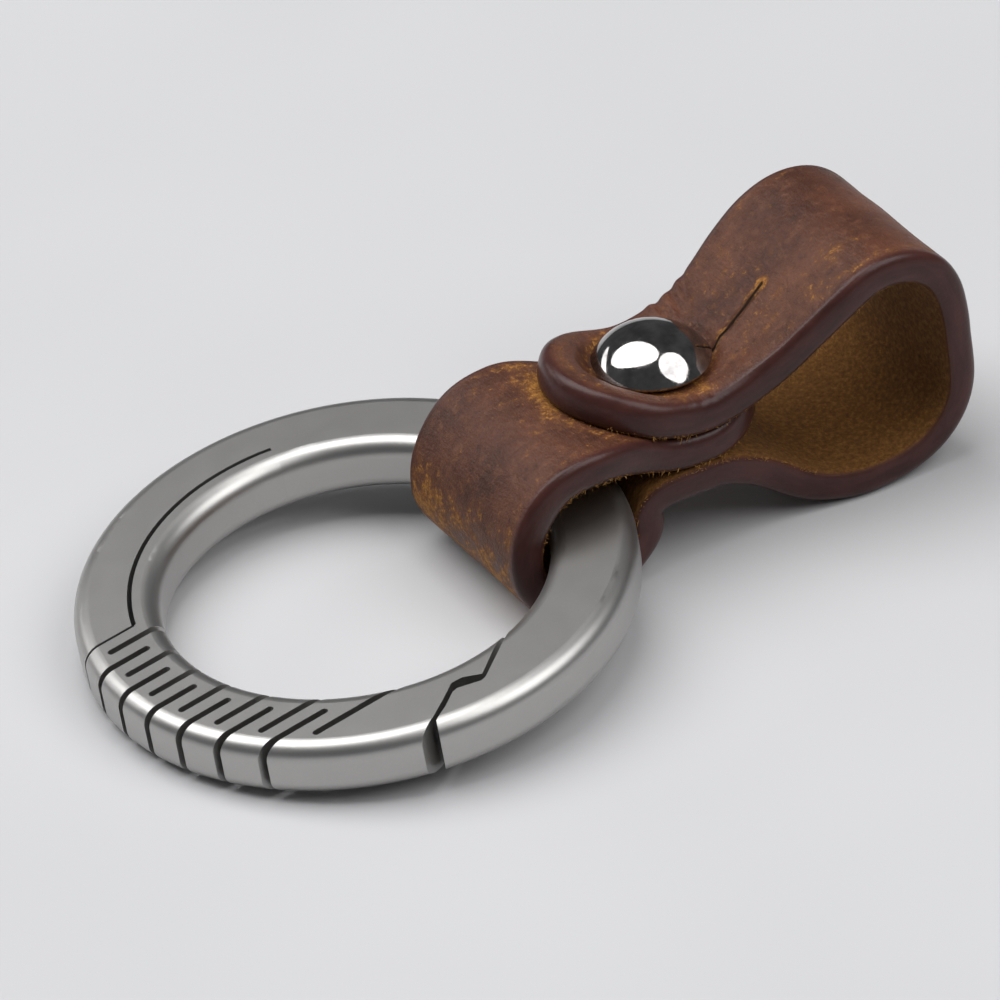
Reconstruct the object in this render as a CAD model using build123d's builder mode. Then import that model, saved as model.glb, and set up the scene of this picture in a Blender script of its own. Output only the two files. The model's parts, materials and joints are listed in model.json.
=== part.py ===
"""Spring-gate key ring with a buttoned leather strap.

The ring is one piece of metal.  A slot along its bar frees a leaf spring, thirteen cross slots
make a folded spring next to it, and the stiff arm after that closes on a hooked joint, so the
arm can be pushed inwards to let a key on.  A strip of leather goes round the bar, out to a
large loop and back over a round-headed stud that holds both of its ends.

Frame: the part lies on the floor, Z = 0, and its outline is symmetrical about Y = 0.  The
strap points along +X.  The ring lies on the floor at its far side and on the leather at its
near side, so its plane is tilted about Y.  All lengths are in millimetres.
"""
import os
from math import cos, radians, sin, sqrt

from build123d import *

# ---- ring ---------------------------------------------------------------------------------
RING_OUTER_R = 16.0
RING_INNER_R = 11.05
RING_THICKNESS = 3.45
RING_EDGE_ROUND = 1.0
RING_TILT = 5.1
RING_CENTRE_X = -11.011
RING_CENTRE_Z = 3.107

# ---- leaf spring slot, along the bar ------------------------------------------------------
LEAF_SLOT_R = 12.7
LEAF_SLOT_WIDTH = 0.27
LEAF_START_ANGLE = 81.4

# ---- folded spring: parallel cross slots, open to the inside and the outside in turn -------
SLOT_DIRECTION = 5.0
SLOT_COUNT = 13
SLOT_WIDTH = 0.43
SLOT_PITCH = 1.19
FIRST_SLOT_OFFSET = 3.77
INNER_SLOT_END_R = 14.5
OUTER_SLOT_END_R = 12.7
RELEASE_CUT_OFFSET = 4.81
RELEASE_CUT_WIDTH = 0.18

# ---- hooked joint: the arm's face and the fixed face, from the outside of the bar inwards ---
GATE_FACE = [
    (-6.2, -16.1),
    (-3.5, -14.58),
    (-2.26, -13.63),
    (-1.16, -12.71),
    (-0.46, -12.69),
    (0.55, -13.18),
    (2.41, -11.54),
    (4.46, -9.61),
]
FIXED_FACE = [
    (-4.3, -16.8),
    (-3.45, -14.88),
    (-2.45, -14.21),
    (-1.51, -13.42),
    (-1.15, -13.3),
    (0.21, -13.64),
    (0.57, -13.52),
    (2.66, -11.75),
    (4.75, -9.8),
]

# ---- leather strip ------------------------------------------------------------------------
STRAP_WIDTH = 12.0
STRAP_THICKNESS = 2.0
# The strap is narrower where the stud holds it, and its ends are round there.
STRAP_END_R = 5.15
NARROW_FROM, NARROW_TO = 18.0, 24.0
FULL_WIDTH_BEFORE, FULL_WIDTH_AFTER = 13.0, 31.0
# The middle of the leather, seen from the side with the ring's centre as zero: from the
# buttoned end, back round the bar, under it, out along the floor, round the large loop and
# back over the stud to the free end.
STRAP_ROUTE = [
    (26.0, 2.25),
    (23.2, 2.08),
    (20.5, 2.12),
    (18.8, 2.5),
    (17.2, 3.2),
    (15.7, 4.0),
    (14.2, 4.62),
    (12.5, 4.92),
    (10.6, 4.6),
    (8.95, 3.25),
    (8.0, 1.1),
    (8.15, -0.95),
    (9.25, -2.5),
    (11.2, -2.9),
    (13.6, -2.9),
    (16.0, -2.5),
    (17.1, -1.5),
    (17.22, -0.5),
    (17.85, 0.15),
    (19.1, 0.25),
    (20.5, 0.05),
    (21.8, -0.2),
    (22.9, -0.75),
    (24.2, -1.65),
    (25.8, -3.05),
    (27.9, -4.3),
    (31.0, -4.86),
    (34.4, -4.4),
    (36.7, -2.2),
    (37.2, 1.2),
    (37.1, 4.6),
    (36.3, 6.8),
    (34.6, 8.1),
    (32.4, 8.4),
    (30.2, 7.6),
    (27.7, 6.1),
    (25.6, 4.9),
    (23.4, 4.25),
    (20.5, 4.2),
    (18.9, 4.75),
    (17.4, 5.45),
    (16.2, 6.08),
    (15.1, 6.6),
]
# Where one length of the strip ends and the next begins, measured along its middle.
BUTTON_END_LENGTH = 9.0
RING_WRAP_LENGTH = 24.9
LOWER_RUN_LENGTH = 12.1
LOOP_LENGTH = 22.0
OUTLINE_STEPS = 16

# ---- stud ---------------------------------------------------------------------------------
# Where the middle of the head's flat underside is, in the strap's side view.  The other heights
# are measured from there along the stud, which leans from the ring's axis.
STUD_AT = (20.55, 5.5)
STUD_LEAN = 6.5
STUD_HEAD_R = 3.45
STUD_HEAD_RIM = 0.3
STUD_HEAD_RISE = 1.9
STUD_NECK_R = 1.9
STUD_NECK_BASE = -2.0
STUD_BORE_R = 1.25
STUD_BORE_TOP = 0.4
SCREW_SHANK_R = 1.2
SCREW_SHANK_TOP = 0.1
SCREW_HEAD_R = 1.6
SCREW_HEAD_TOP = -6.5
SCREW_HEAD_DEPTH = 0.7
SCREW_SLOT_WIDTH = 0.7
SCREW_SLOT_DEPTH = 0.4
FLAP_HOLE_R = 2.1
SCREW_HOLE_R = 1.3
# The leather is pressed in under the stud's head and over the screw's head.
SEAT_GAP = 0.08
# The button slit, from the hole towards the loop, as (along, across) in the ring's plane.
SLIT_ENDS = [(21.0, -1.25), (28.0, -0.5)]
SLIT_WIDTH = 0.12

# ---- planes -------------------------------------------------------------------------------
ALONG = (cos(radians(RING_TILT)), 0, sin(radians(RING_TILT)))
UP = (-sin(radians(RING_TILT)), 0, cos(radians(RING_TILT)))
RING = Plane(origin=(RING_CENTRE_X, 0, RING_CENTRE_Z), x_dir=ALONG, z_dir=UP)
SLOTS = RING.rotated((0, 0, SLOT_DIRECTION))
STRAP_SIDE = Plane(origin=RING.origin, x_dir=ALONG, z_dir=(0, -1, 0))
STUD = Plane(origin=RING.from_local_coords((STUD_AT[0], 0, STUD_AT[1])), x_dir=ALONG, z_dir=UP)
STUD = STUD.rotated((0, STUD_LEAN, 0))
STUD_SIDE = Plane(origin=STUD.origin, x_dir=STUD.x_dir, z_dir=(0, -1, 0))
BEYOND = 2 * RING_OUTER_R


def depth_at(radius, offset):
    """How far along the slots' direction a circle about the ring's centre lies at an offset."""
    return -sqrt(radius**2 - offset**2)


# The leaf spring's share of the ring's plane: from its fixed end to the release cut.
leaf_fixed_side = Vector(BEYOND, 0).rotate(Axis.Z, LEAF_START_ANGLE - SLOT_DIRECTION)
LEAF_SECTOR = [
    leaf_fixed_side * (RELEASE_CUT_OFFSET / leaf_fixed_side.Y),
    leaf_fixed_side,
    (-BEYOND, BEYOND),
    (-BEYOND, RELEASE_CUT_OFFSET),
]


# ---- ring: the plain bar, then everything that is cut out of it ------------------------------
with BuildPart() as plain_ring:
    with BuildSketch(STRAP_SIDE):
        with Locations(((RING_INNER_R + RING_OUTER_R) / 2, 0)):
            RectangleRounded(RING_OUTER_R - RING_INNER_R, RING_THICKNESS, RING_EDGE_ROUND)
    revolve(axis=Axis(RING.origin, RING.z_dir))

with BuildPart() as cuts:
    with BuildSketch(SLOTS):
        release_start = depth_at(LEAF_SLOT_R, RELEASE_CUT_OFFSET)
        release_length = BEYOND + release_start
        with Locations((release_start - release_length / 2, RELEASE_CUT_OFFSET)):
            Rectangle(release_length, RELEASE_CUT_WIDTH)
        for number in range(SLOT_COUNT):
            offset_now = FIRST_SLOT_OFFSET - number * SLOT_PITCH
            if number % 2 == 0:
                closed_end = depth_at(INNER_SLOT_END_R, offset_now)
                open_end = depth_at(RING_INNER_R, offset_now) + 4 * SLOT_WIDTH
            else:
                closed_end = depth_at(OUTER_SLOT_END_R, offset_now)
                open_end = -RING_OUTER_R - SLOT_WIDTH
            with Locations(((closed_end + open_end) / 2, offset_now)):
                SlotCenterToCenter(abs(open_end - closed_end), SLOT_WIDTH)
    extrude(amount=RING_THICKNESS, both=True)
    with BuildSketch(SLOTS):
        Polygon(*LEAF_SECTOR, align=None)
        Circle(LEAF_SLOT_R + LEAF_SLOT_WIDTH / 2, mode=Mode.INTERSECT)
        Circle(LEAF_SLOT_R - LEAF_SLOT_WIDTH / 2, mode=Mode.SUBTRACT)
    extrude(amount=RING_THICKNESS, both=True)
    with BuildSketch(RING):
        with BuildLine():
            Polyline(*GATE_FACE, *reversed(FIXED_FACE), close=True)
        make_face()
    extrude(amount=RING_THICKNESS, both=True)

with BuildPart() as leaf_zone:
    with BuildSketch(SLOTS):
        Polygon(*LEAF_SECTOR, align=None)
        Circle(LEAF_SLOT_R, mode=Mode.INTERSECT)
    extrude(amount=RING_THICKNESS, both=True)

last_slot_offset = FIRST_SLOT_OFFSET - (SLOT_COUNT - 1) * SLOT_PITCH
with BuildPart() as folded_zone:
    with BuildSketch(SLOTS):
        with Locations((-BEYOND / 2, (RELEASE_CUT_OFFSET + last_slot_offset) / 2)):
            Rectangle(BEYOND, RELEASE_CUT_OFFSET - last_slot_offset)
    extrude(amount=RING_THICKNESS, both=True)

with BuildPart() as leaf_spring:
    add(plain_ring.part)
    add(leaf_zone.part, mode=Mode.INTERSECT)
    add(cuts.part, mode=Mode.SUBTRACT)

with BuildPart() as serpentine_spring:
    add(plain_ring.part)
    add(folded_zone.part, mode=Mode.INTERSECT)
    add(cuts.part, mode=Mode.SUBTRACT)

with BuildPart() as stiff_metal:
    add(plain_ring.part)
    add(leaf_zone.part, mode=Mode.SUBTRACT)
    add(folded_zone.part, mode=Mode.SUBTRACT)
    add(cuts.part, mode=Mode.SUBTRACT)

stiff_pieces = stiff_metal.part.solids().sort_by(SortBy.VOLUME)
with BuildPart() as ring_body:
    add(stiff_pieces[-1])

with BuildPart() as gate_arm:
    add(stiff_pieces[0])

# ---- leather --------------------------------------------------------------------------------
with BuildLine() as strap_side_view:
    strap_route = Spline(*STRAP_ROUTE)


def beside_route(distance, side):
    """A point on the leather's surface, half its thickness to one side of the route."""
    middle = strap_route.position_at(distance, position_mode=PositionMode.LENGTH)
    ahead = strap_route.tangent_at(distance, position_mode=PositionMode.LENGTH)
    return middle + Vector(-ahead.Y, ahead.X) * (side * STRAP_THICKNESS / 2)


# The strap's outline from above: full width at both loops, narrow at the stud.
with BuildPart() as strap_plan:
    with BuildSketch(RING):
        with BuildLine():
            for side in (1, -1):
                wide, narrow = side * STRAP_WIDTH / 2, side * STRAP_END_R
                Line((0, wide), (FULL_WIDTH_BEFORE, wide))
                Spline((FULL_WIDTH_BEFORE, wide), (NARROW_FROM, narrow), tangents=((1, 0), (1, 0)))
                Line((NARROW_FROM, narrow), (NARROW_TO, narrow))
                Spline((NARROW_TO, narrow), (FULL_WIDTH_AFTER, wide), tangents=((1, 0), (1, 0)))
                Line((FULL_WIDTH_AFTER, wide), (2 * BEYOND, wide))
            Line((0, STRAP_WIDTH / 2), (0, -STRAP_WIDTH / 2))
            Line((2 * BEYOND, STRAP_WIDTH / 2), (2 * BEYOND, -STRAP_WIDTH / 2))
        make_face()
    extrude(amount=BEYOND, both=True)


def strap_length(start, length):
    """The leather between two places along the strip."""
    stations = [start + length * step / OUTLINE_STEPS for step in range(OUTLINE_STEPS + 1)]
    with BuildPart() as section:
        with BuildSketch(STRAP_SIDE):
            with BuildLine():
                left = Spline(*[beside_route(station, 1) for station in stations])
                right = Spline(*[beside_route(station, -1) for station in stations])
                Line(left @ 0, right @ 0)
                Line(left @ 1, right @ 1)
            make_face()
        extrude(amount=STRAP_WIDTH, both=True)
        add(strap_plan.part, mode=Mode.INTERSECT)
    return section.part


def rounded_end(tip, inwards):
    """The outline of a strap end from above, as a block: a round nose and the strap behind it."""
    with BuildPart() as nose:
        with BuildSketch(RING):
            with Locations((tip + inwards * STRAP_END_R, 0)):
                Circle(STRAP_END_R)
            with Locations((tip + inwards * (STRAP_END_R + BEYOND / 2), 0)):
                Rectangle(BEYOND, STRAP_WIDTH)
        extrude(amount=BEYOND, both=True)
    return nose.part


def stud_hole(radius, top=BEYOND, bottom=-BEYOND):
    """A round hole along the stud, between two heights from the head's underside."""
    with BuildPart() as hole:
        with BuildSketch(STUD.offset(bottom)):
            Circle(radius)
        extrude(amount=top - bottom)
    return hole.part


wrap_start = BUTTON_END_LENGTH
run_start = wrap_start + RING_WRAP_LENGTH
loop_start = run_start + LOWER_RUN_LENGTH
flap_start = loop_start + LOOP_LENGTH
flap_length = strap_route.length - flap_start

with BuildPart() as strap_button_end:
    add(strap_length(0, BUTTON_END_LENGTH))
    add(rounded_end(STRAP_ROUTE[0][0], -1), mode=Mode.INTERSECT)
    add(stud_hole(SCREW_HOLE_R), mode=Mode.SUBTRACT)

with BuildPart() as strap_ring_wrap:
    add(strap_length(wrap_start, RING_WRAP_LENGTH))

with BuildPart() as strap_lower_run:
    add(strap_length(run_start, LOWER_RUN_LENGTH))
    add(stud_hole(SCREW_HOLE_R), mode=Mode.SUBTRACT)
    add(stud_hole(SCREW_HEAD_R + SEAT_GAP, top=SCREW_HEAD_TOP + SEAT_GAP), mode=Mode.SUBTRACT)

with BuildPart() as strap_loop:
    add(strap_length(loop_start, LOOP_LENGTH))

with BuildPart() as strap_flap:
    add(strap_length(flap_start, flap_length))
    add(rounded_end(STRAP_ROUTE[-1][0], 1), mode=Mode.INTERSECT)
    add(stud_hole(FLAP_HOLE_R), mode=Mode.SUBTRACT)
    add(stud_hole(STUD_HEAD_R + SEAT_GAP, bottom=-SEAT_GAP), mode=Mode.SUBTRACT)
    with BuildSketch(RING):
        with BuildLine():
            Line(*SLIT_ENDS)
        trace(line_width=SLIT_WIDTH)
    extrude(amount=BEYOND, both=True, mode=Mode.SUBTRACT)

# ---- stud -------------------------------------------------------------------------------------
with BuildPart() as stud_head:
    with BuildSketch(STUD_SIDE):
        with BuildLine():
            dome_ball_r = (STUD_HEAD_R**2 + STUD_HEAD_RISE**2) / (2 * STUD_HEAD_RISE)
            Polyline(
                (0, STUD_HEAD_RIM + STUD_HEAD_RISE),
                (0, STUD_BORE_TOP),
                (STUD_BORE_R, STUD_BORE_TOP),
                (STUD_BORE_R, STUD_NECK_BASE),
                (STUD_NECK_R, STUD_NECK_BASE),
                (STUD_NECK_R, 0),
                (STUD_HEAD_R - STUD_HEAD_RIM, 0),
            )
            RadiusArc((STUD_HEAD_R - STUD_HEAD_RIM, 0), (STUD_HEAD_R, STUD_HEAD_RIM), -STUD_HEAD_RIM)
            RadiusArc((STUD_HEAD_R, STUD_HEAD_RIM), (0, STUD_HEAD_RIM + STUD_HEAD_RISE), -dome_ball_r)
        make_face()
    revolve(axis=Axis(STUD.origin, STUD.z_dir))

with BuildPart() as stud_screw:
    with BuildSketch(STUD.offset(SCREW_HEAD_TOP)):
        Circle(SCREW_HEAD_R)
    extrude(amount=-SCREW_HEAD_DEPTH)
    fillet(stud_screw.edges().filter_by(GeomType.CIRCLE), SCREW_HEAD_DEPTH / 4)
    with BuildSketch(STUD.offset(SCREW_HEAD_TOP)):
        Circle(SCREW_SHANK_R)
    extrude(amount=SCREW_SHANK_TOP - SCREW_HEAD_TOP)
    with BuildSketch(STUD.offset(SCREW_HEAD_TOP - SCREW_HEAD_DEPTH)):
        Rectangle(2 * SCREW_HEAD_R, SCREW_SLOT_WIDTH)
    extrude(amount=SCREW_SLOT_DEPTH, mode=Mode.SUBTRACT)

# ---- files ------------------------------------------------------------------------------------
PIECES = {
    "ring_body": ring_body,
    "leaf_spring": leaf_spring,
    "serpentine_spring": serpentine_spring,
    "gate_arm": gate_arm,
    "strap_ring_wrap": strap_ring_wrap,
    "strap_button_end": strap_button_end,
    "strap_lower_run": strap_lower_run,
    "strap_loop": strap_loop,
    "strap_flap": strap_flap,
    "stud_head": stud_head,
    "stud_screw": stud_screw,
}
os.makedirs("parts", exist_ok=True)
for name, piece in PIECES.items():
    piece.part.label = name
    export_step(piece.part, f"parts/{name}.step")
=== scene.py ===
"""Looks of the spring-gate key ring: satin metal, pull-up leather strap and polished stud.

Lengths are worked out in millimetres in the ring's own frame (s along the strap from the ring's
centre, y across it, z along the ring's axis) and turned into metres in the row frame at the end.
"""
import json
import math
import random

import bmesh
import bpy
import numpy as np
from mathutils import Matrix, Vector, noise


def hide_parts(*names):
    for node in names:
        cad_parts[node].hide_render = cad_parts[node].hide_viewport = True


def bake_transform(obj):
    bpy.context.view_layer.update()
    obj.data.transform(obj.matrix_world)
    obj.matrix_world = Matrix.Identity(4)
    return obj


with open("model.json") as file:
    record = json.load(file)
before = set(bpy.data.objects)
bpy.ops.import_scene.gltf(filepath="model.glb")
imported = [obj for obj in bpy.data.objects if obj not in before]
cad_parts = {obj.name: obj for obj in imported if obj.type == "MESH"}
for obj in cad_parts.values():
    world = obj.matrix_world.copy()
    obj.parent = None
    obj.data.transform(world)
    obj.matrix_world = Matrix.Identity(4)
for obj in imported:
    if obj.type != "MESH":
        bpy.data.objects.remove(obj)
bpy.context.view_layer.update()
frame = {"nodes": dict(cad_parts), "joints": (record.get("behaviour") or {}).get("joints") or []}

MM = 0.001
JOINTS = {joint["name"]: joint for joint in frame["joints"]}

# ---- the ring's frame, from the joint that the strap slides on ------------------------------
RING_CENTRE = Vector(JOINTS["strap_slide"]["pos_m"])
RING_UP = Vector(JOINTS["strap_slide"]["axis"]).normalized()
RING_ALONG = Vector((RING_UP.z, 0, -RING_UP.x))


def to_row(s, y, z):
    """A point in the ring's frame, in millimetres, as a point in the row frame, in metres."""
    return RING_CENTRE + RING_ALONG * (s * MM) + Vector((0, y * MM, 0)) + RING_UP * (z * MM)


# ---- camera ---------------------------------------------------------------------------------
CAMERA_AT = Vector((-0.176996, -0.325683, 0.263392))
CAMERA_BACK = Vector((-0.38904, -0.7219, 0.57228)).normalized()
CAMERA_RIGHT = Vector((0.8538, -0.51584, -0.07029)).normalized()
CAMERA_LENS = 288.0


def make_camera():
    data = bpy.data.cameras.new("camera")
    data.lens = CAMERA_LENS
    data.sensor_width = 36.0
    data.clip_start = 0.01
    data.clip_end = 20.0
    camera = bpy.data.objects.new("camera", data)
    bpy.context.scene.collection.objects.link(camera)
    up = CAMERA_BACK.cross(CAMERA_RIGHT)
    turn = Matrix((CAMERA_RIGHT, up, CAMERA_BACK)).transposed()
    camera.matrix_world = Matrix.Translation(CAMERA_AT) @ turn.to_4x4()
    bpy.context.scene.camera = camera


# ---- small helpers for node materials ---------------------------------------------------------
class Shader:
    """A node material with short ways to add and join nodes."""

    def __init__(self, name):
        self.material = bpy.data.materials.new(name)
        self.material.use_nodes = True
        self.tree = self.material.node_tree
        self.tree.nodes.clear()
        self.surface = self.add("ShaderNodeBsdfPrincipled")
        out = self.add("ShaderNodeOutputMaterial")
        self.tree.links.new(self.surface.outputs["BSDF"], out.inputs["Surface"])

    def add(self, kind, **settings):
        node = self.tree.nodes.new(kind)
        for key, value in settings.items():
            setattr(node, key, value)
        return node

    def give(self, entry, value):
        """Puts a number, a colour as a plain tuple, or another node's output into a socket."""
        if isinstance(value, (int, float)):
            entry.default_value = value
        elif isinstance(value, tuple):
            entry.default_value = (*value, 1.0)
        else:
            self.tree.links.new(value, entry)

    def attribute(self, name):
        """A value stored on the mesh's points."""
        return self.add("ShaderNodeAttribute", attribute_name=name).outputs["Fac"]

    def noise(self, scale, detail=4.0, rough=0.55, vector=None):
        """Noise whose scale is in waves per millimetre."""
        node = self.add("ShaderNodeTexNoise")
        node.inputs["Scale"].default_value = scale
        node.inputs["Detail"].default_value = detail
        node.inputs["Roughness"].default_value = rough
        self.tree.links.new(self.coords() if vector is None else vector, node.inputs["Vector"])
        return node.outputs["Fac"]

    def coords(self):
        """Object coordinates in millimetres."""
        place = self.add("ShaderNodeTexCoord")
        scale = self.add("ShaderNodeMapping")
        scale.inputs["Scale"].default_value = (1 / MM, 1 / MM, 1 / MM)
        self.tree.links.new(place.outputs["Object"], scale.inputs["Vector"])
        return scale.outputs["Vector"]

    def strap_coords(self, stretch):
        """Coordinates that follow the leather: along it, across it and through it, in millimetres."""
        joined = self.add("ShaderNodeCombineXYZ")
        for axis, name in zip("XYZ", ("along", "across", "through")):
            self.tree.links.new(self.attribute(name), joined.inputs[axis])
        scale = self.add("ShaderNodeMapping")
        scale.inputs["Scale"].default_value = stretch
        self.tree.links.new(joined.outputs["Vector"], scale.inputs["Vector"])
        return scale.outputs["Vector"]

    def ramp(self, value, stops):
        """Colours at stops of (value, colour), and smooth changes between them."""
        node = self.add("ShaderNodeValToRGB")
        ramp = node.color_ramp
        while len(ramp.elements) < len(stops):
            ramp.elements.new(0.5)
        for element, (place, colour) in zip(ramp.elements, stops):
            element.position = place
            element.color = (*colour, 1.0)
        self.tree.links.new(value, node.inputs["Fac"])
        return node.outputs["Color"]

    def curve(self, value, low, high, to_low=0.0, to_high=1.0):
        """Goes smoothly from to_low, where the value is low, to to_high, where it is high."""
        node = self.add("ShaderNodeMapRange", interpolation_type="SMOOTHSTEP")
        node.inputs["From Min"].default_value = low
        node.inputs["From Max"].default_value = high
        node.inputs["To Min"].default_value = to_low
        node.inputs["To Max"].default_value = to_high
        self.tree.links.new(value, node.inputs["Value"])
        return node.outputs["Result"]

    def math(self, operation, first, second):
        node = self.add("ShaderNodeMath", operation=operation)
        for entry, value in zip(node.inputs, (first, second)):
            self.give(entry, value)
        return node.outputs["Value"]

    def squared(self, value):
        return self.math("MULTIPLY", value, value)

    def add_up(self, *values):
        total = values[0]
        for value in values[1:]:
            total = self.math("ADD", total, value)
        return total

    def mix(self, amount, first, second):
        """The first colour where the amount is 0, and the second where it is 1."""
        node = self.add("ShaderNodeMix", data_type="RGBA")
        entries = (node.inputs[0], node.inputs[6], node.inputs[7])
        for entry, value in zip(entries, (amount, first, second)):
            self.give(entry, value)
        return node.outputs[2]

    def bump(self, height, distance, strength):
        """A normal for a height of 0 to 1 that stands for a distance in millimetres."""
        node = self.add("ShaderNodeBump")
        node.inputs["Strength"].default_value = strength
        node.inputs["Distance"].default_value = distance * MM
        self.tree.links.new(height, node.inputs["Height"])
        return node.outputs["Normal"]

    def set(self, **sockets):
        """Sets the surface's own sockets, named with _ for a space."""
        for key, value in sockets.items():
            self.give(self.surface.inputs[key.replace("_", " ")], value)


def ring_metal():
    """Bead-blasted steel: an even grey with a fine satin grain and barely brighter rubbed patches."""
    shader = Shader("satin_metal")
    rubbed = shader.noise(0.25, detail=3.0)
    tone = shader.ramp(rubbed, [(0.3, (0.432, 0.424, 0.412)), (0.7, (0.444, 0.436, 0.424))])
    grain = shader.noise(7.0, detail=3.0, rough=0.6)
    colour = shader.mix(shader.curve(grain, 0.35, 0.7, 0.0, 0.10), tone, (0.55, 0.545, 0.53))
    roughness = shader.curve(shader.noise(0.8, detail=2.0), 0.3, 0.7, 0.385, 0.40)
    shader.set(Base_Color=colour, Metallic=1.0, Roughness=roughness)
    shader.set(Normal=shader.bump(grain, 0.006, 0.2))
    return shader.material


def stud_metal():
    """Polished dark nickel with faint handling marks."""
    shader = Shader("polished_dark_nickel")
    film = shader.noise(0.9, detail=4.0)
    colour = shader.ramp(film, [(0.35, (0.24, 0.232, 0.232)), (0.65, (0.46, 0.44, 0.425))])
    roughness = shader.curve(shader.noise(2.2, detail=6.0), 0.35, 0.75, 0.04, 0.12)
    shader.set(Base_Color=colour, Metallic=1.0, Roughness=roughness)
    shader.set(Normal=shader.bump(shader.noise(2.6, detail=4.0), 0.005, 0.3))
    return shader.material


def slit_distances(shader):
    """How far a place is from the slit's line, and from the slit's far end, in millimetres."""
    beside = shader.squared(shader.attribute("slit_beside"))
    ahead = shader.attribute("slit_ahead")
    past = shader.math("MAXIMUM", ahead, 0.0)
    to_slit = shader.math("SQRT", shader.math("ADD", beside, shader.squared(past)), 0.0)
    to_end_squared = shader.math("ADD", beside, shader.squared(ahead))
    return to_slit, to_end_squared


def waxed_colour(shader, flat):
    """The grain side before it is worn: wax-dark and paler clouds, fine mottling and dark specks."""
    cloud = shader.noise(0.28, detail=5.0, rough=0.55, vector=flat)
    colour = shader.ramp(
        cloud,
        [(0.30, (0.055, 0.019, 0.011)), (0.50, (0.092, 0.032, 0.017)), (0.72, (0.128, 0.046, 0.024))],
    )
    mottle = shader.noise(1.7, detail=7.0, rough=0.65, vector=flat)
    colour = shader.mix(shader.curve(mottle, 0.50, 0.75, 0.0, 0.55), colour, (0.185, 0.076, 0.040))
    colour = shader.mix(shader.curve(mottle, 0.28, 0.46, 0.65, 0.0), colour, (0.036, 0.013, 0.008))
    speck = shader.noise(6.5, detail=3.0, rough=0.6, vector=flat)
    return shader.mix(shader.curve(speck, 0.26, 0.40, 0.6, 0.0), colour, (0.030, 0.012, 0.010))


def wear(shader, flat, to_slit, to_end_squared):
    """How far the wax is rubbed off: the stored scuffs, the slit's edges and end, and patches."""
    patchy = shader.noise(0.9, detail=8.0, rough=0.72, vector=flat)
    return shader.add_up(
        shader.attribute("scuff"),
        shader.curve(to_slit, 0.0, 0.7, 0.30, 0.0),
        shader.curve(to_end_squared, 0.0, 0.30, 0.85, 0.0),
        shader.curve(patchy, 0.25, 0.75, -0.42, 0.42),
    )


def worn_colour(shader, flat, colour, worn):
    """An ochre tint where the wax is rubbed thin, and bright flecks where it is gone."""
    fine = shader.noise(4.5, detail=6.0, rough=0.75, vector=flat)
    colour = shader.mix(shader.curve(worn, 0.15, 0.95, 0.0, 0.75), colour, (0.190, 0.072, 0.018))
    fleck = shader.curve(shader.math("ADD", worn, shader.curve(fine, 0.3, 0.7, -0.5, 0.5)), 0.50, 1.10)
    ochre = shader.ramp(fine, [(0.35, (0.230, 0.090, 0.017)), (0.65, (0.470, 0.215, 0.042))])
    return shader.mix(shader.math("MULTIPLY", fleck, 0.85), colour, ochre)


def rim_colour(shader):
    """The burnished rim: dark plum with streaks along it."""
    streak = shader.noise(0.7, detail=5.0, rough=0.6, vector=shader.strap_coords((0.5, 1.0, 2.0)))
    return shader.ramp(streak, [(0.3, (0.036, 0.0125, 0.011)), (0.7, (0.070, 0.024, 0.020))])


def leather_height(shader, flat, nap, on_rim, on_flesh, to_slit):
    """Relief too fine for the mesh: wrinkles across the strap, pores, nap and the slit's groove."""
    creased = shader.strap_coords((2.2, 0.8, 1.0))
    wrinkle = shader.noise(1.5, detail=6.0, rough=0.62, vector=creased)
    pores = shader.noise(5.0, detail=5.0, rough=0.65, vector=flat)
    height = shader.math("ADD", shader.math("MULTIPLY", pores, 0.55), wrinkle)
    off_rim = shader.math("SUBTRACT", 1.0, shader.math("MULTIPLY", on_rim, 0.85))
    height = shader.math("MULTIPLY", height, off_rim)
    fuzz = shader.math("MULTIPLY", shader.math("MULTIPLY", nap, on_flesh), 2.5)
    height = shader.math("ADD", height, fuzz)
    return shader.math("SUBTRACT", height, shader.curve(to_slit, 0.03, 0.35, 1.8, 0.0))


def strap_leather():
    """Pull-up leather: red-brown grain with ochre scuffs, painted shade along the slit, burnished rim,
    suede on the raw side.
    """
    shader = Shader("pull_up_leather")
    flat = shader.strap_coords((1.0, 1.0, 1.0))
    to_slit, to_end_squared = slit_distances(shader)
    worn = wear(shader, flat, to_slit, to_end_squared)
    grain_colour = worn_colour(shader, flat, waxed_colour(shader, flat), worn)
    # Painted shade: within about 0.17 mm of the slit's line the grain is darkened nearly to black,
    # standing in for the shadow in the cut.
    slit_painted_shade = shader.curve(to_slit, 0.05, 0.17, 0.92, 0.0)
    grain_colour = shader.mix(slit_painted_shade, grain_colour, (0.016, 0.007, 0.004))

    nap = shader.noise(3.2, detail=8.0, rough=0.8, vector=flat)
    flesh_colour = shader.ramp(
        nap, [(0.25, (0.050, 0.020, 0.006)), (0.5, (0.195, 0.082, 0.018)), (0.78, (0.44, 0.22, 0.058))]
    )
    on_rim = shader.attribute("rim")
    on_flesh = shader.attribute("flesh")
    colour = shader.mix(on_rim, grain_colour, rim_colour(shader))
    colour = shader.mix(on_flesh, colour, flesh_colour)

    roughness = shader.curve(worn, 0.2, 0.9, 0.42, 0.68)
    roughness = shader.math("SUBTRACT", roughness, shader.math("MULTIPLY", on_rim, 0.12))
    roughness = shader.math("MAXIMUM", roughness, shader.math("MULTIPLY", on_flesh, 0.95))
    height = leather_height(shader, flat, nap, on_rim, on_flesh, to_slit)
    shader.set(Base_Color=colour, Roughness=roughness, Normal=shader.bump(height, 0.13, 0.85))
    shader.set(Specular_IOR_Level=0.26)
    return shader.material


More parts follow.
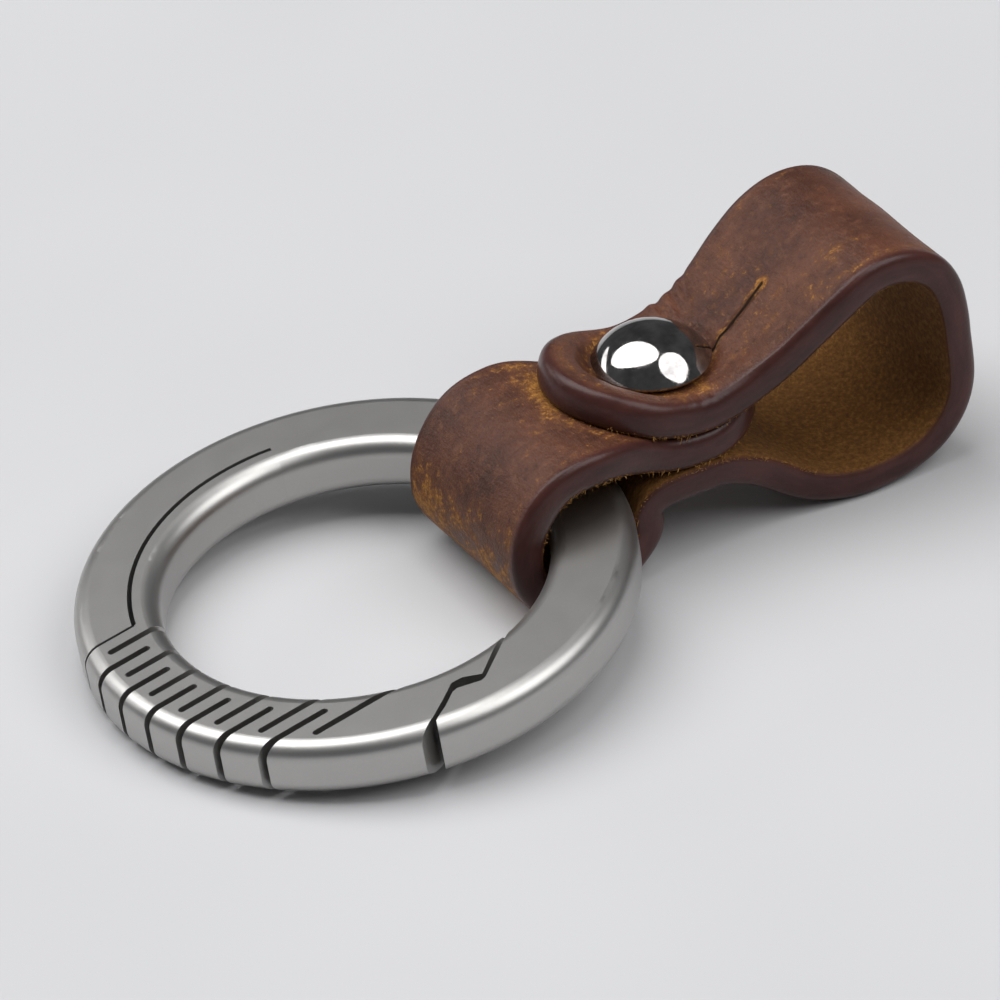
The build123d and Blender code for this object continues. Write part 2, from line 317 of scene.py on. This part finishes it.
def fibre_leather():
    """Loose golden fibres at the raw side's edges."""
    shader = Shader("leather_fibres")
    tone = shader.ramp(
        shader.noise(2.0, detail=3.0), [(0.3, (0.26, 0.105, 0.020)), (0.7, (0.58, 0.30, 0.070))]
    )
    shader.set(Base_Color=tone, Roughness=0.8)
    return shader.material


# ---- leather strip ----------------------------------------------------------------------------
# The middle of the leather from the side, in the ring's frame: (s, z). It is the route of the CAD
# solids, with the flap's tip a little further out.
ROUTE = [
    (26.0, 2.25),
    (23.2, 2.08),
    (20.5, 2.12),
    (18.8, 2.5),
    (17.2, 3.2),
    (15.7, 4.0),
    (14.2, 4.62),
    (12.5, 4.92),
    (10.6, 4.6),
    (8.95, 3.25),
    (8.0, 1.1),
    (8.15, -0.95),
    (9.25, -2.5),
    (11.2, -2.9),
    (13.6, -2.9),
    (16.0, -2.5),
    (17.1, -1.5),
    (17.22, -0.5),
    (17.85, 0.15),
    (19.1, 0.25),
    (20.5, 0.05),
    (21.8, -0.2),
    (22.9, -0.75),
    (24.2, -1.65),
    (25.8, -3.05),
    (27.9, -4.3),
    (31.0, -4.86),
    (34.4, -4.4),
    (36.7, -2.2),
    (37.2, 1.2),
    (37.1, 4.6),
    (36.3, 6.8),
    (34.6, 8.1),
    (32.4, 8.4),
    (30.2, 7.6),
    (27.7, 6.1),
    (25.6, 4.9),
    (23.4, 4.25),
    (20.5, 4.2),
    (18.9, 4.75),
    (17.4, 5.45),
    (16.2, 6.08),
    (14.05, 6.88),
]
# The strap's half width along the ring's s: full at both loops, narrow where the stud holds it.
FULL_HALF_WIDTH, NARROW_HALF_WIDTH = 6.0, 5.15
FULL_BEFORE, NARROW_FROM, NARROW_TO, FULL_AFTER = 13.0, 18.0, 24.0, 31.0
HALF_THICKNESS = 1.0
# How far in from the rim each side is rounded, the burnished grain side more than the raw side,
# and the power of that rounding: 2 is a quarter of an ellipse, and more is squarer.
GRAIN_ROUND, RAW_ROUND = 0.75, 0.35
ROUND_POWER = 2.6
# The mesh: the rows' spacing along the strap, its columns in from the rim, and the nose's rays.
ROW_STEP = 0.2
RIM_STEPS = [0.0, 0.012, 0.05, 0.11, 0.2, 0.3, 0.42, 0.56, 0.72, 0.9, 1.1]
INNER_STEPS = 22
NOSE_FAN = 64
# Where the mesh is divided into the strap's piece and the flap's, on the large loop.
SEAM_AT = 59.5
# How far the wrap's sides are drawn in behind the ring's bar, and where that starts and stops.
BAR_HUG = 1.35
HUG_STRETCH = (28.0, 32.0, 34.5, 38.0)

# ---- stud, as in the CAD: where its head's flat underside is, and how it leans -----------------
STUD_AT = (20.55, 5.5)
STUD_LEAN = math.radians(6.5)
HOLE_R = 2.1
SLIT_START, SLIT_STOP = (21.0, -1.25), (28.0, -0.5)
SLIT_WIDTH = 0.05
# The blade that cuts the slit reaches from under the flap to over it.
BLADE_LOW, BLADE_HIGH = 0.5, 10.0
# The dish that the head presses in the flap: radii, depth under the head and rise at its edge.
SEAT_INNER, SEAT_OUTER, SEAT_DEPTH, SEAT_RISE = 3.5, 4.9, 0.15, 1.7


def smooth_step(value, low, high):
    """0 below low, 1 above high, and a smooth change between them."""
    part = np.clip((value - low) / (high - low), 0, 1)
    return part * part * (3 - 2 * part)


def natural_spline(points, samples):
    """A smooth curve through the points, sampled evenly in its parameter."""
    points = np.array(points, float)
    knots = np.concatenate([[0], np.cumsum(np.hypot(*np.diff(points, axis=0).T))])
    gaps = np.diff(knots)
    count = len(points)
    system = np.eye(count)
    right = np.zeros((count, 2))
    for i in range(1, count - 1):
        system[i, i - 1 : i + 2] = (gaps[i - 1], 2 * (gaps[i - 1] + gaps[i]), gaps[i])
        slope_change = (points[i + 1] - points[i]) / gaps[i] - (points[i] - points[i - 1]) / gaps[i - 1]
        right[i] = 6 * slope_change
    bends = np.linalg.solve(system, right)
    wanted = np.linspace(0, knots[-1], samples)
    span = np.clip(np.searchsorted(knots, wanted, side="right") - 1, 0, count - 2)
    gap = gaps[span][:, None]
    before = (knots[span + 1] - wanted)[:, None]
    after = (wanted - knots[span])[:, None]
    first, second = points[span], points[span + 1]
    curve = bends[span] * before**3 / (6 * gap) + bends[span + 1] * after**3 / (6 * gap)
    curve += (first / gap - bends[span] * gap / 6) * before
    curve += (second / gap - bends[span + 1] * gap / 6) * after
    return curve


class Route:
    """The strip's middle line, read by distance along it."""

    def __init__(self, points):
        self.line = natural_spline(points, 4000)
        steps = np.hypot(*np.diff(self.line, axis=0).T)
        self.distance = np.concatenate([[0], np.cumsum(steps)])
        self.length = self.distance[-1]
        heading = np.gradient(self.line, self.distance, axis=0)
        self.heading = heading / np.hypot(*heading.T)[:, None]

    def at(self, distance):
        return [np.interp(distance, self.distance, self.line[:, axis]) for axis in (0, 1)]

    def heading_at(self, distance):
        return [np.interp(distance, self.distance, self.heading[:, axis]) for axis in (0, 1)]

    def nearest(self, s, z, low, high):
        """Distance along the strip, between two limits, where it passes nearest to a point."""
        inside = (self.distance >= low) & (self.distance <= high)
        away = np.hypot(self.line[:, 0] - s, self.line[:, 1] - z)
        away[~inside] = 1e9
        return self.distance[np.argmin(away)]


route = Route(ROUTE)
LENGTH = route.length


def rim_profile(inset, face):
    """How far one side of the leather is from its middle, at a distance in from its rim."""
    reach = GRAIN_ROUND if face > 0 else RAW_ROUND
    if inset >= reach:
        return face * HALF_THICKNESS
    return face * HALF_THICKNESS * (1 - (1 - inset / reach) ** ROUND_POWER) ** (1 / ROUND_POWER)


def half_width(along):
    """The strap's half width at a distance along it."""
    s = route.at(along)[0]
    narrow = smooth_step(s, FULL_BEFORE, NARROW_FROM) * (1 - smooth_step(s, NARROW_TO, FULL_AFTER))
    return FULL_HALF_WIDTH - (FULL_HALF_WIDTH - NARROW_HALF_WIDTH) * narrow


def insets_across(width):
    """Distances in from the rim, close together on the rounding, to the middle of the strap."""
    return RIM_STEPS + list(np.linspace(RIM_STEPS[-1], width, INNER_STEPS + 1)[1:])


def plan_points(first, last, nose):
    """The strip laid flat: rows of (along, across, inset) from rim to rim, and the nose's rays."""
    start = first + NARROW_HALF_WIDTH if nose == "start" else first
    stop = last - NARROW_HALF_WIDTH if nose == "end" else last
    rows = []
    for along in np.linspace(start, stop, max(2, round((stop - start) / ROW_STEP)) + 1):
        at_nose = nose and along in (start, stop) and (along == start) == (nose == "start")
        width = NARROW_HALF_WIDTH if at_nose else float(half_width(along))
        insets = insets_across(width)
        side = [(along, -(width - inset), inset) for inset in insets]
        other = [(along, width - inset, inset) for inset in reversed(insets[:-1])]
        rows.append(side + other)
    fans = []
    if nose:
        centre, outward = (start, -1.0) if nose == "start" else (stop, 1.0)
        for step in range(1, NOSE_FAN):
            angle = math.pi * step / NOSE_FAN
            ray = []
            for inset in insets_across(NARROW_HALF_WIDTH)[:-1]:
                reach = NARROW_HALF_WIDTH - inset
                ray.append((centre + outward * reach * math.sin(angle), -reach * math.cos(angle), inset))
            fans.append(ray)
    return rows, fans


def strip_surface(first, last, nose):
    """Makes the closed mesh of a length of leather, before it is bent. Returns mesh and flat data."""
    rows, fans = plan_points(first, last, nose)
    flat, faces = [], []
    index = {}

    def vertex(key, along, across, inset, face):
        if key not in index:
            index[key] = len(flat)
            flat.append((along, across, inset, rim_profile(inset, face)))
        return index[key]

    columns = len(rows[0])

    def grid(row, column, face):
        along, across, inset = rows[row][column]
        on_rim = column in (0, columns - 1)
        return vertex(("g", row, column, 0 if on_rim else face), along, across, inset, face)

    for face in (1, -1):
        for row in range(len(rows) - 1):
            for column in range(columns - 1):
                corners = [
                    grid(row, column, face),
                    grid(row + 1, column, face),
                    grid(row + 1, column + 1, face),
                    grid(row, column + 1, face),
                ]
                faces.append(corners if face == 1 else corners[::-1])

    def close_end(row, outward):
        for column in range(columns - 1):
            corners = [grid(row, column, 1), grid(row, column + 1, 1)]
            corners += [grid(row, column + 1, -1), grid(row, column, -1)]
            corners = list(dict.fromkeys(corners))
            faces.append(corners if outward > 0 else corners[::-1])

    if nose != "start":
        close_end(0, -1)
    if nose != "end":
        close_end(len(rows) - 1, 1)

    if nose:
        end_row = 0 if nose == "start" else len(rows) - 1
        middle = columns // 2

        def fan(ray, depth, face):
            if depth == middle:
                return grid(end_row, middle, face)
            if ray == 0:
                return grid(end_row, depth, face)
            if ray == NOSE_FAN:
                return grid(end_row, columns - 1 - depth, face)
            along, across, inset = fans[ray - 1][depth]
            return vertex(("f", ray, depth, 0 if depth == 0 else face), along, across, inset, face)

        turned = 1 if nose == "end" else -1
        for face in (1, -1):
            for ray in range(NOSE_FAN):
                for depth in range(middle):
                    corners = [fan(ray, depth, face), fan(ray + 1, depth, face)]
                    corners += [fan(ray + 1, depth + 1, face), fan(ray, depth + 1, face)]
                    corners = list(dict.fromkeys(corners))
                    if len(corners) > 2:
                        faces.append(corners if face * turned == 1 else corners[::-1])
    return np.array(flat), faces


# ---- what bending, use and wear do to the leather ------------------------------------------------
# How far back from the flap's tip these reach: its nose with the stud, its creases, its slit and its
# whole top side.
NOSE_REACH, CREASED_REACH, SLIT_REACH, TOP_REACH = 14, 20, 25, 40
STUD_ON_FLAP = route.nearest(*STUD_AT, LENGTH - NOSE_REACH, LENGTH)
# Creases of the flap: where along and across, slant and depth.
CREASES = [
    (STUD_ON_FLAP - 4.6, 3.3, 0.35, 0.24),
    (STUD_ON_FLAP - 5.7, 3.9, 0.55, 0.20),
    (STUD_ON_FLAP - 3.8, 4.2, 0.15, 0.17),
    (STUD_ON_FLAP - 0.6, -4.3, 0.2, 0.05),
    (STUD_ON_FLAP - 1.6, -4.2, 0.3, 0.05),
]
CREASE_REACH, CREASE_WIDTH, FOLD_WIDTH, FOLD_BESIDE = 1.5, 0.28, 0.35, 0.5
# A full lip round the flap's nose: its height, how far in from the rim it is and how wide.
LIP_RISE, LIP_INSET, LIP_WIDTH = 0.14, 1.0, 0.7
# How far from the stud the lip starts to fade, and how fast.
LIP_WHOLE, LIP_FADE = 5.2, 3.0
# The leather's gentle unevenness: height, size and seed.
SWELLS = [(0.07, 5.0, 3.0), (0.035, 1.9, 9.0)]


def soft_noise(along, across, size, seed):
    """Smooth noise over the leather, about -1 to 1, that changes over a length."""
    return noise.noise(Vector((along / size, across / size, seed)))


def relief(along, across, inset, face):
    """How far the leather stands off its plain shape at a place, towards its grain side."""
    rise = sum(height * soft_noise(along, across, size, seed) for height, size, seed in SWELLS)
    if along < LENGTH - CREASED_REACH:
        return rise
    fading = max(0.0, math.hypot(along - STUD_ON_FLAP, across) - LIP_WHOLE) / LIP_FADE
    rise += LIP_RISE * math.exp(-(((inset - LIP_INSET) / LIP_WIDTH) ** 2) - fading**2)
    if face > 0:
        for crease_along, crease_across, slant, depth in CREASES:
            beside = (along - crease_along) + slant * (across - crease_across)
            span = ((across - crease_across) / CREASE_REACH) ** 2
            rise -= depth * math.exp(-((beside / CREASE_WIDTH) ** 2) - span)
            rise += 0.8 * depth * math.exp(-(((beside - FOLD_BESIDE) / FOLD_WIDTH) ** 2) - span)
    return rise


def bend_to_route(flat):
    """Places the flat strip's points on the route, in the ring's frame, in millimetres.

    The relief is whole on the grain side and fades to nothing on the raw side.
    """
    along, across, inset, through = flat.T
    s, z = route.at(along)
    ahead_s, ahead_z = route.heading_at(along)
    lift = through + np.array([relief(*row) for row in flat]) * (1 + through) / 2
    s = s + ahead_z * lift
    z = z - ahead_s * lift
    # Behind the bar the leather's sides follow the ring's curve inwards.
    hug = smooth_step(along, *HUG_STRETCH[:2]) * (1 - smooth_step(along, *HUG_STRETCH[2:]))
    s = s - BAR_HUG * hug * (across / FULL_HALF_WIDTH) ** 2
    return press_round_stud(np.column_stack([s, across, z]), along, through)


def press_round_stud(points, along, through):
    """Dishes the flap's grain side under the stud's head."""
    lean = (math.sin(STUD_LEAN), math.cos(STUD_LEAN))
    from_stud = points - np.array([STUD_AT[0], 0, STUD_AT[1]])
    height = from_stud[:, 0] * lean[0] + from_stud[:, 2] * lean[1]
    sideways = from_stud[:, 0] * lean[1] - from_stud[:, 2] * lean[0]
    away = np.hypot(sideways, points[:, 1])
    seat = -SEAT_DEPTH + SEAT_RISE * smooth_step(away, SEAT_INNER, SEAT_OUTER)
    pressed = (along > LENGTH - NOSE_REACH) & (away < SEAT_OUTER)
    over = np.where(pressed, np.maximum(0, height - seat), 0)
    drop = over * np.clip(through, 0, 1)
    points[:, 0] -= drop * lean[0]
    points[:, 2] -= drop * lean[1]
    return points


# Where the grain side is scuffed: along, across, reach along, reach across and strength.
SCUFF_SPOTS = [
    (11.8, 1.6, 1.8, 2.9, 0.92),
    (10.6, -2.8, 1.5, 1.6, 0.55),
    (12.6, -0.5, 2.4, 4.0, 0.22),
    (21.5, 3.6, 1.8, 2.2, 0.60),
    (20.6, 0.0, 2.0, 5.0, 0.30),
    (23.4, -3.6, 2.4, 2.6, 0.66),
    (24.5, 1.0, 2.6, 6.0, 0.46),
    (LENGTH - 13.5, -2.6, 3.0, 1.3, 0.30),
    (LENGTH - 14.4, 2.0, 2.6, 2.2, 0.25),
    (LENGTH - 19.0, -3.6, 3.4, 1.6, 0.22),
]


def scuff_at(along, across, inset):
    """How much the wax has been rubbed off the grain, 0 to about 1.

    It is rubbed at the scuffed spots, round the stud's head and in patches along the rim.
    """
    amount = 0.04
    for spot_along, spot_across, reach_along, reach_across, strength in SCUFF_SPOTS:
        far = ((along - spot_along) / reach_along) ** 2 + ((across - spot_across) / reach_across) ** 2
        amount += strength * math.exp(-far)
    if along > LENGTH - TOP_REACH:
        away = math.hypot(along - STUD_ON_FLAP, across)
        amount += 0.55 * math.exp(-(((away - 3.5) / 0.7) ** 2))
    patch = 0.5 + 1.2 * soft_noise(along, across, 5.0, 21.0)
    amount += 0.34 * math.exp(-(((inset - 1.05) / 0.3) ** 2)) * max(0.0, patch)
    return amount


def slit_values(placed):
    """How far each point is beside the slit's line and ahead of its end, in millimetres."""
    start, stop = np.array(SLIT_START), np.array(SLIT_STOP)
    ahead = (stop - start) / np.hypot(*(stop - start))
    offset = placed[:, :2] - stop
    return offset[:, 0] * ahead[1] - offset[:, 1] * ahead[0], offset @ ahead


# ---- pieces of leather ---------------------------------------------------------------------------
def make_object(name, points, faces, material):
    mesh = bpy.data.meshes.new(name)
    mesh.from_pydata([tuple(point) for point in points], [], faces)
    mesh.update()
    mesh.materials.append(material)
    piece = bpy.data.objects.new(name, mesh)
    bpy.context.scene.collection.objects.link(piece)
    return piece


def store(mesh, name, values):
    """Stores a value on each of the mesh's points, for its material to read."""
    attribute = mesh.attributes.new(name, "FLOAT", "POINT")
    attribute.data.foreach_set("value", np.asarray(values, np.float32))


def button_hole_cutter():
    """A peg along the stud's axis and a thin blade along the slit, as one mesh object."""
    lean = Matrix.Rotation(STUD_LEAN, 4, RING_ALONG.cross(RING_UP) * -1)
    turn = Matrix((RING_ALONG, (0, 1, 0), RING_UP)).transposed().to_4x4()
    place = Matrix.Translation(to_row(STUD_AT[0], 0, STUD_AT[1])) @ lean @ turn
    radius = HOLE_R * MM
    bm = bmesh.new()
    bmesh.ops.create_cone(
        bm, cap_ends=True, segments=72, radius1=radius, radius2=radius, depth=8 * MM, matrix=place
    )
    start, stop = Vector(SLIT_START), Vector(SLIT_STOP)
    ahead = (stop - start).normalized()
    side = Vector((-ahead.y, ahead.x)) * SLIT_WIDTH / 2
    outline = [start + side, start - side, stop - side, stop + ahead * SLIT_WIDTH / 2, stop + side]
    low = [bm.verts.new(to_row(point.x, point.y, BLADE_LOW)) for point in outline]
    high = [bm.verts.new(to_row(point.x, point.y, BLADE_HIGH)) for point in outline]
    bm.faces.new(low)
    bm.faces.new(high[::-1])
    for k in range(len(outline)):
        n = (k + 1) % len(outline)
        bm.faces.new((low[n], low[k], high[k], high[n]))
    bmesh.ops.recalc_face_normals(bm, faces=bm.faces)
    mesh = bpy.data.meshes.new("button_hole_cutter")
    bm.to_mesh(mesh)
    bm.free()
    cutter = bpy.data.objects.new("button_hole_cutter", mesh)
    bpy.context.scene.collection.objects.link(cutter)
    return cutter


def cut_button_hole(piece):
    """Cuts the flap's hole and slit through its mesh."""
    cutter = button_hole_cutter()
    cut = piece.modifiers.new("button_hole", "BOOLEAN")
    cut.operation = "DIFFERENCE"
    cut.solver = "EXACT"
    cut.use_self = True
    cut.object = cutter
    evaluated = piece.evaluated_get(bpy.context.evaluated_depsgraph_get())
    result = bpy.data.meshes.new_from_object(evaluated)
    piece.modifiers.clear()
    piece.data = result
    bpy.data.objects.remove(cutter)


# Stands for a place that the slit has no effect on, in millimetres.
FAR_FROM_SLIT = 9.0
# Edges sharper than this stay sharp, such as those of the button hole.
SHARP_ANGLE = math.radians(55)


def leather_piece(name, first, last, nose, material):
    """Makes a length of the leather, with the values along it that its material reads."""
    flat, faces = strip_surface(first, last, nose)
    placed = bend_to_route(flat)
    piece = make_object(name, [to_row(*row) for row in placed], faces, material)
    mesh = piece.data
    along, across, inset, through = flat.T
    on_top = through > 0
    store(mesh, "along", along)
    store(mesh, "across", across)
    store(mesh, "through", through)
    top_rim, raw_rim = 1 - smooth_step(inset, 0.35, 0.75), 1 - smooth_step(inset, 0.05, 0.3)
    store(mesh, "rim", np.where(on_top, top_rim, raw_rim))
    store(mesh, "flesh", np.where(on_top, 0.0, smooth_step(inset, 0.08, 0.25)))
    store(mesh, "scuff", [scuff_at(*row[:3]) for row in flat])
    slit_beside, slit_ahead = slit_values(placed)
    near_slit = on_top & (along > LENGTH - SLIT_REACH) & (placed[:, 0] > STUD_AT[0])
    store(mesh, "slit_beside", np.where(near_slit, slit_beside, FAR_FROM_SLIT))
    store(mesh, "slit_ahead", np.where(near_slit, slit_ahead, FAR_FROM_SLIT))
    if nose == "end":
        cut_button_hole(piece)
    piece.data.polygons.foreach_set("use_smooth", [True] * len(piece.data.polygons))
    piece.data.set_sharp_from_angle(angle=SHARP_ANGLE)
    return piece


# ---- loose fibres --------------------------------------------------------------------------------
# A fibre: rings of three corners each, from its root towards its tip.
STRAND_RINGS, STRAND_CORNERS = 4, 3


def strand(points, faces, root, aim, length, thick, rng):
    """A short tapered fibre that droops and wavers; adds its points and faces."""
    aim = aim.normalized()
    side = aim.orthogonal().normalized()
    other = aim.cross(side)
    first = len(points)
    sway = Vector((rng.uniform(-1, 1), rng.uniform(-1, 1), rng.uniform(-1.2, 0.4))) * length * 0.45
    for ring in range(STRAND_RINGS):
        part = ring / STRAND_RINGS
        middle = root + aim * length * part + sway * part * part
        radius = thick * (1 - part * 0.75)
        for corner in range(STRAND_CORNERS):
            turn = 2 * math.pi * corner / STRAND_CORNERS
            points.append(middle + (side * math.cos(turn) + other * math.sin(turn)) * radius)
    points.append(root + aim * length + sway)
    tip = len(points) - 1
    for ring in range(STRAND_RINGS):
        start = first + ring * STRAND_CORNERS
        for corner in range(STRAND_CORNERS):
            a, b = start + corner, start + (corner + 1) % STRAND_CORNERS
            if ring < STRAND_RINGS - 1:
                faces.append((a, b, b + STRAND_CORNERS, a + STRAND_CORNERS))
            else:
                faces.append((a, b, tip))
    faces.append((first + 2, first + 1, first))


def place_along(rng, first, last, clumps):
    """Where a fibre grows: most are in clumps, and the rest anywhere on the stretch."""
    along = rng.choice(clumps) + rng.gauss(0, 0.3) if rng.random() < 0.65 else rng.uniform(first, last)
    return min(max(along, first), last)


def row_direction(s, y, z):
    """A step in the ring's frame, in millimetres, as one in the row frame, in metres."""
    return to_row(s, y, z) - to_row(0, 0, 0)


def add_fibre(points, faces, along, longest, rng):
    """One fibre on the raw side's edge, pointing outwards and down."""
    across, out = edge_place(along, rng.choice((-1, 1)))
    flat = np.array([[along, across, 0.1, -HALF_THICKNESS * rng.uniform(0.72, 0.97)]])
    root = to_row(*bend_to_route(flat)[0])
    ahead_s, ahead_z = route.heading_at(along)
    down = row_direction(-ahead_z, 0, ahead_s)
    outward = row_direction(ahead_s * out[0], out[1], ahead_z * out[0])
    ahead = row_direction(ahead_s, 0, ahead_z)
    aim = outward * rng.uniform(0.1, 0.9) + down * rng.uniform(0.2, 1.0) + ahead * rng.gauss(0, 0.6)
    length = longest * rng.uniform(0.25, 1.0) ** 1.6 * MM
    strand(points, faces, root, aim, length, rng.uniform(0.012, 0.028) * MM, rng)


def make_fibres(name, stretches, material, seed):
    """Fibres along the raw side's edges over stretches of (first, last, how many, longest)."""
    rng = random.Random(seed)
    points, faces = [], []
    for first, last, count, longest in stretches:
        clumps = [rng.uniform(first, last) for _ in range(max(4, count // 14))]
        for _ in range(count):
            add_fibre(points, faces, place_along(rng, first, last, clumps), longest, rng)
    piece = make_object(name, points, faces, material)
    piece.data.polygons.foreach_set("use_smooth", [True] * len(piece.data.polygons))
    return piece


def edge_place(along, side):
    """Where the strap's rim is at a distance along it, and which way is out: along and across."""
    inwards = min(along, LENGTH - along)
    if inwards < NARROW_HALF_WIDTH:
        back = NARROW_HALF_WIDTH - inwards
        reach = math.sqrt(max(0.0, NARROW_HALF_WIDTH**2 - back**2))
        towards_tip = -back if along < NARROW_HALF_WIDTH else back
        out = (towards_tip / NARROW_HALF_WIDTH, side * reach / NARROW_HALF_WIDTH)
        return side * max(0.0, reach - 0.1), out
    return side * (float(half_width(along)) - 0.1), (0.0, side)


# ---- build --------------------------------------------------------------------------------------
# Fibres over stretches of the leather: first, last, how many and the longest.
STRAP_FIBRES = [(1.0, 9.0, 110, 0.34), (9.0, 20.0, 190, 0.30), (31.0, 45.0, 260, 0.34)]
FLAP_FIBRES = [(LENGTH - 5.0, LENGTH - 0.3, 40, 0.22), (LENGTH - 21.0, LENGTH - 4.0, 220, 0.34)]


def give_material(material, *nodes):
    for node in nodes:
        materials = frame["nodes"][node].data.materials
        materials.clear()
        materials.append(material)


def bending_copy(name, node, material):
    """A piece with a CAD node's own shape and the given material, with the node itself hidden."""
    mesh = frame["nodes"][node].data.copy()
    mesh.name = name
    mesh.materials.clear()
    mesh.materials.append(material)
    piece = bpy.data.objects.new(name, mesh)
    bpy.context.scene.collection.objects.link(piece)
    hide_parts(node)
    return piece


def make_springs(metal):
    """The ring's two springs: the leaf beside its slot and the folded one between its cross slots."""
    leaf = bending_copy("leaf_spring_metal", "leaf_spring", metal)
    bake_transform(leaf)

    folded = bending_copy("folded_spring_metal", "serpentine_spring", metal)
    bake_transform(folded)


def make_leather():
    """The strap in two pieces, each with its fibres: up to the large loop, and the loop and flap."""
    leather = strap_leather()
    strap = leather_piece("strap_leather", 0.0, SEAM_AT, "start", leather)
    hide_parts("strap_ring_wrap", "strap_button_end", "strap_lower_run")
    flap = leather_piece("strap_flap_leather", SEAM_AT, LENGTH, "end", leather)
    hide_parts("strap_flap", "strap_loop")

    fibres = fibre_leather()
    strap_fibres = make_fibres("strap_fibres", STRAP_FIBRES, fibres, 11)
    flap_fibres = make_fibres("flap_fibres", FLAP_FIBRES, fibres, 12)

    for piece in (strap, strap_fibres):
        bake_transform(piece)
    for piece in (flap, flap_fibres):
        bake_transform(piece)


# ---- floor and light ------------------------------------------------------------------------------
FLOOR_HALF_SIZE = 3.0
# The floor is a hair lower than the part's lowest point, so that the two never share a face.
FLOOR_DROP = 0.02 * MM


def make_floor():
    shader = Shader("pale_floor")
    cloud = shader.noise(0.02, detail=2.0)
    tone = shader.ramp(cloud, [(0.3, (0.53, 0.53, 0.54)), (0.7, (0.56, 0.56, 0.57))])
    shader.set(Base_Color=tone, Roughness=0.6)
    size = FLOOR_HALF_SIZE
    corners = [(-size, -size, 0), (size, -size, 0), (size, size, 0), (-size, size, 0)]
    floor = make_object("floor", corners, [(0, 1, 2, 3)], shader.material)
    floor.location.z = -FLOOR_DROP


# Each softbox: its place and size in metres, and its power in watts. The first two are seen as two
# round windows in the stud's dome, and the last draws a thin bright line along the far edges.
SOFTBOXES = {
    "key_softbox": ((-0.13, 0.16, 0.50), (0.44, 0.74), 3.4),
    "side_softbox": ((0.20, -0.25, 0.41), (0.42, 0.44), 1.5),
    "back_strip": ((-0.32, 0.50, 0.22), (0.50, 0.10), 0.35),
}
LIGHTS_AIM_AT = Vector((0.0, 0.0, 0.005))
WORLD_COLOUR, WORLD_STRENGTH = (0.55, 0.57, 0.60, 1.0), 0.17


def make_lights():
    for name, (place, size, power) in SOFTBOXES.items():
        data = bpy.data.lights.new(name, "AREA")
        data.shape = "ELLIPSE"
        data.size, data.size_y = size
        data.energy = power
        light = bpy.data.objects.new(name, data)
        bpy.context.scene.collection.objects.link(light)
        light.location = place
        light.rotation_mode = "QUATERNION"
        light.rotation_quaternion = (Vector(place) - LIGHTS_AIM_AT).to_track_quat("Z", "Y")
    world = bpy.data.worlds.new("studio")
    bpy.context.scene.world = world
    world.use_nodes = True
    background = world.node_tree.nodes["Background"]
    background.inputs["Color"].default_value = WORLD_COLOUR
    background.inputs["Strength"].default_value = WORLD_STRENGTH


# ---- everything, in order -------------------------------------------------------------------------
make_camera()
satin = ring_metal()
give_material(satin, "ring_body", "gate_arm")
give_material(stud_metal(), "stud_head", "stud_screw")
make_springs(satin)
make_leather()
make_floor()
make_lights()
bpy.context.scene.view_settings.view_transform = "Standard"
